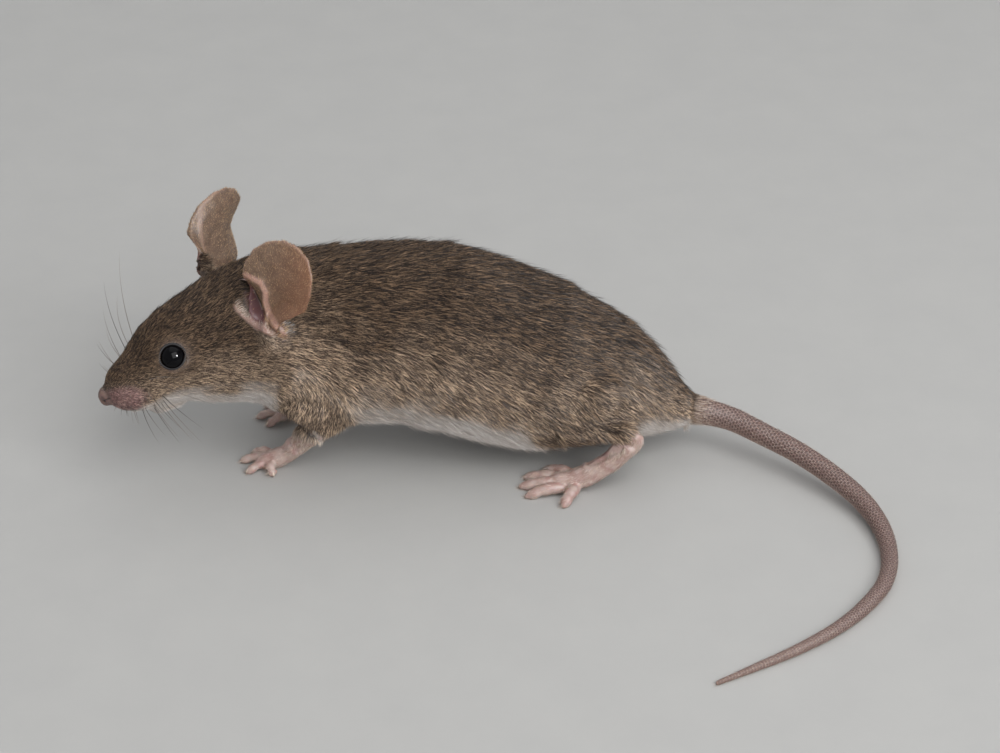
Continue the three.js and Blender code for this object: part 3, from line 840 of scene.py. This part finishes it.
def scatter(made, corner_map, chance):
    """Places on the skin that tufts grow from, with the skin's numbers at each."""
    mesh = made.data
    mesh.calc_loop_triangles()
    faces = read(mesh.loop_triangles, "vertices", 3, np.int32)
    corners = read(mesh.loop_triangles, "loops", 3, np.int32)
    places = places_of(mesh)
    a, b, c = (places[faces[:, k]] for k in range(3))
    area = np.linalg.norm(np.cross(b - a, c - a), axis=1) / 2
    wanted = np.cumsum(area * value_of(mesh, "crowd")[faces].mean(1))
    picks = (np.arange(COAT_TUFTS) + chance.random(COAT_TUFTS)) / COAT_TUFTS * wanted[-1]
    face = np.searchsorted(wanted, picks).clip(0, len(area) - 1)
    r, s = np.sqrt(chance.random(COAT_TUFTS)), chance.random(COAT_TUFTS)
    shares = np.stack([1 - r, r * (1 - s), r * s], axis=1)

    def mixed(values):
        return (values[faces[face]] * (shares if values.ndim == 1 else shares[:, :, None])).sum(1)

    roots = {name: mixed(value_of(mesh, name)) for name in ROOT_VALUES}
    roots["places"] = mixed(places)
    roots["normals"] = unit(mixed(normals_of(mesh)))
    roots["flow"] = unit(mixed(np.stack([value_of(mesh, name) for name in FLOW], axis=1)))
    roots["map"] = (corner_map[corners[face]] * shares[:, :, None]).sum(1)
    return roots


def noise(points, size, seed):
    """A smooth random number, about -1 to 1, that changes over a distance in millimetres."""
    chance = np.random.default_rng(seed)
    total = np.zeros(len(points))
    for _ in range(6):
        way = unit(chance.normal(size=3))
        pace = 2 * np.pi / size * chance.uniform(0.6, 1.5)
        total += np.sin((points @ way) * pace + chance.uniform(0, 6.3))
    return total / 2.4


GUARD_SHARE = 0.05  # how many of the tufts are long dark guard hairs
ROOT_DEPTH = 0.1  # how deep in the skin tufts start


def grow_tufts(name, roots, chance, material):
    """One piece of coat: a bent, tapering blade of three faces on each root."""
    count = len(roots["places"])
    coated = roots["bare"] < 0.5
    guard = (chance.random(count) < GUARD_SHARE) & coated
    length = roots["hair"] * chance.uniform(0.65, 1.1, count) * np.where(guard, 1.3, 1)
    width = roots["width"] * chance.uniform(0.7, 1.3, count) * np.where(guard, 0.8, 1)
    depth = np.maximum(roots["depth"], 0.1)
    reach = depth * np.where(guard, chance.uniform(1.0, 1.6, count), chance.uniform(0.35, 1.1, count))
    lift = np.clip(reach / length, 0.05, 0.8)
    normal, flow, places = roots["normals"], roots["flow"], roots["places"]
    across = unit(np.cross(flow, normal))
    sway = 0.15 * chance.normal(size=count) + 0.05 * noise(places, 2.4, 5) + 0.08 * noise(places, 9, 8)
    flow = unit(flow + across * sway[:, None])
    across = unit(np.cross(flow, normal))
    roll = chance.normal(size=count) * 0.5
    turned = across * np.cos(roll)[:, None] + normal * np.sin(roll)[:, None]
    curl = 0.05 * chance.normal(size=count)

    def step(steep, share):
        rise = (lift * steep)[:, None]
        way = unit(normal * rise + flow * np.sqrt(np.maximum(1 - rise ** 2, 0.05)))
        return way * (length * share)[:, None]

    half = (turned * width[:, None]) / 2
    middle = places + step(1.45, 0.5)
    tip = middle + step(0.55, 0.5) + across * (curl * length)[:, None]
    root = places - normal * ROOT_DEPTH
    points = np.stack([root - half, root + half, middle + half * 0.9, middle - half * 0.9, tip], axis=1)
    points[:, :, 2] = np.maximum(points[:, :, 2], CLEAR)
    base = np.arange(count)[:, None] * 5
    faces = (base + np.array([[0, 1, 2, 0, 2, 3, 3, 2, 4]])).reshape(-1, 3)
    mesh = bpy.data.meshes.new(name)
    mesh.vertices.add(count * 5)
    mesh.vertices.foreach_set("co", points.astype(np.float32).ravel())
    mesh.loops.add(len(faces) * 3)
    mesh.loops.foreach_set("vertex_index", faces.astype(np.int32).ravel())
    mesh.polygons.add(len(faces))
    mesh.polygons.foreach_set("loop_start", np.arange(0, len(faces) * 3, 3, dtype=np.int32))
    mesh.update(calc_edges=True)

    patch = np.array([[-0.4, 0], [0.4, 0], [0.4, 0.5], [-0.4, 0.5], [0, 1]]) * TUFT_PATCH
    spots = (roots["map"][:, None] + patch).reshape(-1, 2).clip(0, 1)
    layer = mesh.uv_layers.new(name="OFBake")
    layer.uv.foreach_set("vector", spots[faces.ravel()].astype(np.float32).ravel())
    tone = chance.random(count) * np.where(guard, 0.2, 1)
    set_value(mesh, "along", np.tile([0, 0, 0.55, 0.55, 1], count))
    set_value(mesh, "tone", np.repeat(tone, 5))
    for key in BLADE_VALUES:
        set_value(mesh, key, np.repeat(roots[key], 5))
    made = in_metres(new_object(name, mesh, material))
    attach(made, "root")


def make_coat(made, material):
    """All of the coat, in pieces: the ears, the tail, and the rest from the nose to the rump."""
    chance = np.random.default_rng(7)
    roots = scatter(made, unwrap(made), chance)
    on_ear, on_tail = roots["ear"] > 0.5, roots["tail_along"] > 0.5
    rest = np.flatnonzero(~on_ear & ~on_tail)
    rest = rest[np.argsort(roots["places"][rest, 0])]
    pieces = list(zip(COAT_NAMES, np.array_split(rest, len(COAT_NAMES))))
    pieces += [("coat_ears", np.flatnonzero(on_ear)), ("coat_tail", np.flatnonzero(on_tail))]
    for name, chosen in pieces:
        grow_tufts(name, {key: found[chosen] for key, found in roots.items()}, chance, material)


# ---- Eyes, claws and whiskers ----


def make_eye(name, eye, material):
    """A glossy eyeball in an eye's place."""
    bm = bmesh.new()
    bmesh.ops.create_uvsphere(bm, u_segments=40, v_segments=24, radius=EYE_R)
    bmesh.ops.translate(bm, vec=Vector(eye), verts=bm.verts)
    made = in_metres(new_object("eyeball_" + name, to_mesh(bm, "eyeball_" + name), material))
    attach(made, "root")
    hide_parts("eye_" + name)


CLAW_RADII = (0, 0.19, 0.17, 0.14, 0.1, 0.06, 0)  # from its root to its point


def make_claws(material):
    """A small curved claw on the end of every toe."""
    bm = bmesh.new()
    for kind, leg in LEGS.items():
        reach = {"fore": 0.55, "hind": 0.7}[kind]
        for _, side in SIDES:
            for start, end in leg["toes"]:
                start, end = np.array([*start, TOE_HEIGHTS[0]]), np.array([*end, TOE_HEIGHTS[2]])
                end = end - leg["shorter"] * (end - start)
                way = unit((end - start) * (1, 1, 0))
                t = np.linspace(0, 1, len(CLAW_RADII))[:, None]
                path = end + way * (0.2 + reach * t) + np.array((0, 0, 1)) * (0.2 - 0.42 * t * t)
                tube(bm, on_side(path, leg, side), CLAW_RADII, 7)
    made = in_metres(new_object("claws", closed(bm, "claws"), material))
    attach(made, "root")


# Whiskers stand in rows on each pad, the hind ones longest.
WHISKER_ROWS, WHISKER_COLUMNS = 5, 5
WHISKER_R = 0.06


def make_whiskers(material):
    """Five rows of whiskers on each pad. Those on the near side hang lower."""
    chance = np.random.default_rng(3)
    bm = bmesh.new()
    tone = bm.verts.layers.float.new("tone")
    for _, side in SIDES:
        for row in range(WHISKER_ROWS):
            for column in range(WHISKER_COLUMNS):
                f = 17.4 - 0.95 * column + 0.15 * row + chance.uniform(-0.12, 0.12)
                u = 0.8 - 0.6 * row + chance.uniform(-0.1, 0.1)
                root = from_skull((f, (1.3 + 0.26 * column - 0.08 * row) * side, u))
                long = (4.0 + 3.6 * column) * chance.uniform(0.75, 1.1) * (1 - 0.1 * row)
                long *= 0.8 if side > 0 else 1.15
                turn = math.radians(52 + 10 * column + chance.uniform(-12, 12))
                rise = 0.75 - 0.36 * row + chance.uniform(-0.12, 0.12) - (0.3 if side > 0 else 0)
                way = unit(np.array((math.cos(turn), math.sin(turn) * side, rise)))
                bend = np.array((-0.2, 0, -0.14)) * chance.uniform(0.5, 1.4)
                t = np.linspace(0, 1, 14)[:, None]
                path = root + (way * t + bend * t ** 2) @ AXES * long
                path[:, 2] = np.maximum(path[:, 2], 0.15)
                radii = WHISKER_R * (1 - t[:, 0]) ** 0.6 * (0.8 + 0.06 * column)
                radii[0] = 0
                shade = chance.random()
                for v, ring, _ in tube(bm, path, radii, 3):
                    v[tone] = min(1, shade * 0.7 + 0.4 * t[ring, 0])
    made = in_metres(new_object("whiskers", closed(bm, "whiskers"), material))
    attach(made, "root")


# ---- Materials ----


def operator(operation, swapped=False):
    """A method that adds a Math node for two values, the second one first when they are swapped."""
    def method(self, other):
        return self.maths(operation, *((other, self) if swapped else (self, other)))
    return method


class Field:
    """A socket whose value changes over a surface. Arithmetic on it adds Math nodes."""

    def __init__(self, paint, socket):
        self.paint, self.socket = paint, socket

    def maths(self, operation, *values):
        return self.paint.node("Math", {"operation": operation}, dict(enumerate(values)))

    __add__ = operator("ADD")
    __sub__, __rsub__ = operator("SUBTRACT"), operator("SUBTRACT", swapped=True)
    __mul__, __rmul__ = operator("MULTIPLY"), operator("MULTIPLY", swapped=True)
    __truediv__ = operator("DIVIDE")
    __mod__ = operator("FLOORED_MODULO")

    def whole(self):
        """The whole number below."""
        return self.maths("FLOOR", self)

    def size(self):
        """Without its sign."""
        return self.maths("ABSOLUTE", self)

    def fade(self, low, high):
        """0 at low, 1 at high and smooth between them."""
        settings = {"interpolation_type": "SMOOTHSTEP"}
        return self.paint.node("MapRange", settings, {"Value": self, "From Min": low, "From Max": high})


class Paint:
    """Makes the nodes of one material."""

    def __init__(self, name):
        self.material = bpy.data.materials.new(name)
        self.material.use_nodes = True
        self.tree = self.material.node_tree
        self.tree.nodes.clear()

    def node(self, kind, settings=None, inputs=None, output=0):
        """A node of a type, with its settings, and then the values or links of its sockets."""
        made = self.tree.nodes.new("ShaderNode" + kind)
        for key, value in (settings or {}).items():
            setattr(made, key, value)
        for key, value in (inputs or {}).items():
            if isinstance(value, Field):
                self.tree.links.new(value.socket, made.inputs[key])
            else:
                made.inputs[key].default_value = value
        return Field(self, made.outputs[output]) if len(made.outputs) else None

    def value(self, name):
        """A number stored on the piece's vertices."""
        return self.node("Attribute", {"attribute_name": name}, output="Fac")

    def place(self):
        """Object coordinates."""
        return self.node("TexCoord", output="Object")

    def noise(self, size, detail=3.0, rough=0.5):
        """Smooth noise, 0 to 1, whose lumps are about so many millimetres apart."""
        inputs = {"Vector": self.place(), "Scale": 1 / (size * MM), "Detail": detail, "Roughness": rough}
        return self.node("TexNoise", None, inputs)

    def mix(self, share, one, two):
        """One colour faded into another."""
        inputs = {0: share, 6: colour(one), 7: colour(two)}
        return self.node("Mix", {"data_type": "RGBA"}, inputs, output=2)

    def bump(self, height, distance, strength=1.0):
        """Normals from a height."""
        inputs = {"Height": height, "Distance": distance * MM, "Strength": strength}
        return self.node("Bump", None, inputs)

    def surface(self, inputs):
        """The material's shader, with its constant and changing values."""
        shader = self.node("BsdfPrincipled", None, inputs)
        self.node("OutputMaterial", None, {"Surface": shader})
        return self.material


def colour(value):
    """A colour given as screen values from 0 to 255, for a socket. A field is left as it is."""
    if isinstance(value, Field):
        return value
    linear = [((v / 255 + 0.055) / 1.055) ** 2.4 if v > 10 else v / 3295 for v in value]
    return (*linear, 1.0)


# Colours of the coat, as screen values: of its dark and light hairs on the back, sides and belly.
BACK = ((46, 38, 34), (164, 134, 106))
FLANK = ((94, 79, 69), (240, 210, 178))
BELLY = ((206, 196, 189), (250, 246, 242))


def coat_colours(paint, low, tone, band):
    """The coat's colours: grizzled brown on the back, warmer on the sides and pale below. Tone tells dark
    hairs from light ones, and band is where a hair has its golden band."""
    patchy = 0.12 * paint.noise(5, 2).fade(0.3, 0.7) - 0.06
    share = (tone + 0.2 * low).fade(0.45, 0.85) * band
    top = paint.mix(share, *BACK)
    side = paint.mix(share, *FLANK)
    under = paint.mix(tone, *BELLY)
    low = low + patchy
    half = paint.mix(low.fade(0.14, 0.5), top, side)
    return paint.mix(low.fade(0.5, 0.8), half, under)


def fur_material():
    """Hair: dark at its root, banded, shining softly."""
    paint = Paint("fur")
    along, tone, low = paint.value("along"), paint.value("tone"), paint.value("low")
    bare, ear = paint.value("bare"), paint.value("ear")
    band = along.fade(0.3, 0.6) * (1 - 0.75 * along.fade(0.8, 0.95))
    base = coat_colours(paint, low, tone, band)
    base = paint.mix(0.5 * paint.value("short"), base, paint.mix(tone, (112, 92, 78), (176, 150, 126)))
    fine = paint.mix(tone.fade(0.3, 0.7), (160, 134, 114), (230, 214, 200))
    golden = paint.mix(tone.fade(0.4, 0.8), (104, 78, 60), (236, 198, 150))
    rosy = paint.mix(tone.fade(0.4, 0.8), (86, 64, 62), (206, 170, 160))
    fine = paint.mix(ear.fade(0.3, 0.7) * (1 - paint.value("lip").fade(0.1, 0.4)), fine, golden)
    fine = paint.mix(paint.value("pad").fade(0.1, 0.4), fine, rosy)
    base = paint.mix(bare.fade(0.3, 0.75), base, fine)
    rooted = paint.mix(along.fade(0.0, 0.45) + 0.6 * paint.value("short"), (44, 38, 36), base)
    rooted = paint.mix(bare.fade(0.3, 0.75), rooted, base)
    return paint.surface({"Base Color": rooted, "Roughness": 0.5, "Specular IOR Level": 0.3})


def bare_skin(paint, base, relief, share, sinks):
    """Skin that a share of the light sinks into, by some parts of a millimetre and the red furthest."""
    return paint.surface({
        "Base Color": base, "Roughness": 0.5, "Normal": relief, "Subsurface Weight": share,
        "Subsurface Radius": (1.0, 0.35, 0.2), "Subsurface Scale": sinks * MM})


def skin_material():
    """Bare pink skin on the feet, ears and nose, with a painted glow and painted shade on the ears and
    painted shade in the nostrils, and the coat's own colours, darkened by the underfur and painted shade,
    where it is covered.
    """
    paint = Paint("skin")
    bare = paint.value("bare")
    covered = coat_colours(paint, paint.value("low"), paint.noise(0.5, 4), 0.45)
    # Under the coat the skin is darkened: the dark grey of the underfur, and painted shade between the
    # hairs.
    covered = paint.mix(0.45, covered, (60, 50, 46))
    covered = paint.mix(0.6 * paint.value("short"), covered, (118, 96, 84))
    pink = paint.mix(paint.noise(1.5, 3).fade(0.35, 0.7), (190, 168, 159), (170, 136, 129))
    pad = paint.mix(paint.noise(0.6, 3).fade(0.35, 0.7), (146, 112, 108), (106, 76, 76))
    pink = paint.mix(paint.value("pad").fade(0.1, 0.5), pink, pad)
    nose = paint.mix(paint.noise(0.6, 3).fade(0.35, 0.7), (118, 94, 86), (88, 68, 64))
    pink = paint.mix(paint.value("nose").fade(0.1, 0.6), pink, nose)
    # The nostrils are painted near black: painted shade inside them.
    pink = paint.mix(paint.value("nostril").fade(0.3, 0.8), pink, (48, 30, 30))
    ear = paint.mix(paint.noise(1.3, 4).fade(0.3, 0.7), (130, 106, 88), (104, 82, 68))
    # The outer part of each ear is painted a warmer orange-brown: a painted glow of light shining through
    # the thin ear.
    ear = paint.mix(paint.value("outer") * 0.6, ear, (148, 100, 72))
    # The hollow is painted a dark mauve: the pink skin darkened by painted shade in the recess.
    ear = paint.mix(paint.value("hollow").fade(0.05, 0.3), ear, (96, 58, 60))
    ear = paint.mix(paint.value("fold").fade(0.3, 0.9) * 0.6, ear, (198, 156, 142))
    ear = paint.mix(paint.value("lip").fade(0.3, 0.9) * 0.6, ear, (206, 172, 162))
    ear = paint.mix(paint.value("rim") * 0.35, ear, (196, 164, 146))
    pink = paint.mix(paint.value("ear").fade(0.4, 0.8), pink, ear)
    base = paint.mix(bare.fade(0.2, 0.75), covered, pink)
    return bare_skin(paint, base, paint.bump(paint.noise(0.3, 4, 0.6), 0.06, 0.6), 0.25, 0.6)


SCALES_AROUND = 16


def tail_material():
    """Rings of small scales over mauve-brown skin, darker on top and browner to the tip, with a painted
    highlight on the scales' edges.
    """
    paint = Paint("tail")
    along, c, s = paint.value("tail_along"), paint.value("tail_c"), paint.value("tail_s")
    ring = along / TAIL_SCALE
    turn = paint.node("Math", {"operation": "ARCTAN2"}, {0: s, 1: c}) / (2 * math.pi)
    cell = (turn * SCALES_AROUND + (ring.whole() % 2) * 0.5) % 1
    across = ((cell - 0.5).size() * 2).fade(0.5, 1.0)
    lengthwise = ((ring % 1 - 0.5).size() * 2).fade(0.5, 1.0)
    gap = 1 - (1 - across) * (1 - lengthwise)
    top = paint.mix(along.fade(45, 88), (84, 63, 58), (107, 80, 67))
    tint = paint.mix(s.fade(-0.75, 0.1), (158, 130, 118), top)
    # The gaps between the scales are painted paler: a painted highlight on the scales' edges.
    scaly = paint.mix(gap * 0.5, tint, (184, 156, 146))
    mottled = paint.mix(paint.noise(0.45, 4, 0.65).fade(0.4, 0.7) * 0.5, scaly, (92, 68, 64))
    return bare_skin(paint, mottled, paint.bump(1 - gap, 0.05, 0.8), 0.1, 0.4)


def eye_material():
    """A wet black eye."""
    paint = Paint("eye")
    shade = paint.mix(paint.noise(1.2, 2), (3, 3, 4), (6, 5, 8))
    return paint.surface({"Base Color": shade, "Roughness": 0.03, "Specular IOR Level": 0.14})


def whisker_material():
    """Stiff hair, dark at the root and paler to the tip."""
    paint = Paint("whisker")
    shade = paint.mix(paint.value("tone"), (30, 26, 26), (150, 138, 128))
    return paint.surface({"Base Color": shade, "Roughness": 0.4, "Specular IOR Level": 0.3})


def plain_material(name, base, rough):
    """A finish of one even nature, with a little variation in its colour."""
    paint = Paint(name)
    shade = paint.mix(paint.noise(0.8, 3), base, tuple(v * 0.9 for v in base))
    return paint.surface({"Base Color": shade, "Roughness": rough})


# ---- The stage ----

TARGET = Vector(SHIFT) + Vector((0, 0, 10))  # what the camera and the lamps point at
TILT = 33  # how far the camera looks down
DISTANCE = 370
FLOOR_HALF = 1500
LAMPS = (("key", (230, -410, 530), 0.62, 4.4), ("top", (40, 180, 620), 0.7, 1.0),
         ("spark", (230, -195, 240), 0.06, 2.2))
SKY = (0.95, 0.97, 1.0, 1), 0.46  # its colour and strength


def make_floor():
    """A plain pale floor."""
    bm = bmesh.new()
    bmesh.ops.create_grid(bm, x_segments=1, y_segments=1, size=FLOOR_HALF)
    paint = Paint("floor")
    shade = paint.mix(paint.noise(9, 6, 0.6), (168, 167, 165), (176, 175, 172))
    material = paint.surface({"Base Color": shade, "Roughness": 0.8})
    in_metres(new_object("floor", to_mesh(bm, "floor"), material))


def make_lights():
    """Two soft lamps and a pale sky. The third lamp only puts a spark in the eyes."""
    for name, place, size, power in LAMPS:
        lamp = bpy.data.lights.new(name, "AREA")
        lamp.size = size
        lamp.energy = power
        made = new_object(name, lamp)
        made.location = Vector(place) * MM
        made.rotation_euler = (TARGET - Vector(place)).to_track_quat("-Z", "Y").to_euler()
        made.visible_diffuse = name != "spark"
    sky = bpy.data.worlds.new("sky")
    sky.use_nodes = True
    shader = sky.node_tree.nodes["Background"]
    shader.inputs["Color"].default_value, shader.inputs["Strength"].default_value = SKY
    bpy.context.scene.world = sky


def make_camera():
    """A camera that looks down at the mouse's left side."""
    tilt = math.radians(TILT)
    lens = bpy.data.cameras.new("camera")
    lens.lens = 100
    lens.sensor_width = 36
    lens.clip_start = 0.01
    camera = new_object("camera", lens)
    camera.location = (TARGET + Vector((0, -math.cos(tilt), math.sin(tilt))) * DISTANCE) * MM
    camera.rotation_euler = (math.pi / 2 - tilt, 0, 0)
    bpy.context.scene.camera = camera
    bpy.context.scene.view_settings.view_transform = "Standard"


# ---- The mouse ----


def add_part(whole, mesh, material_index):
    """Adds a mesh to the skin, in one of its materials."""
    extra = new_object("extra", mesh)
    first = len(whole.data.polygons)
    with bpy.context.temp_override(active_object=whole, object=whole, selected_objects=[whole, extra],
                                   selected_editable_objects=[whole, extra]):
        bpy.ops.object.join()
    for face in whole.data.polygons[first:]:
        face.material_index = material_index


def main():
    """The stage, and then the mouse's pieces."""
    make_floor()
    make_lights()
    make_camera()
    skin, eyes = make_skin()
    for material in (skin_material(), tail_material(), plain_material("lids", (26, 21, 22), 0.65)):
        skin.data.materials.append(material)
    add_part(skin, tail_tube(), 1)
    wet = eye_material()
    for name, (eye, out) in eyes.items():
        add_part(skin, lid_ring(eye, out), 2)
        make_eye(name, eye, wet)
    make_coat(skin, fur_material())
    in_metres(skin)
    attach(skin, "root")
    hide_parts(*FLESH, *TAIL_NODES)
    make_claws(plain_material("claw", (222, 204, 186), 0.35))
    make_whiskers(whisker_material())


main()
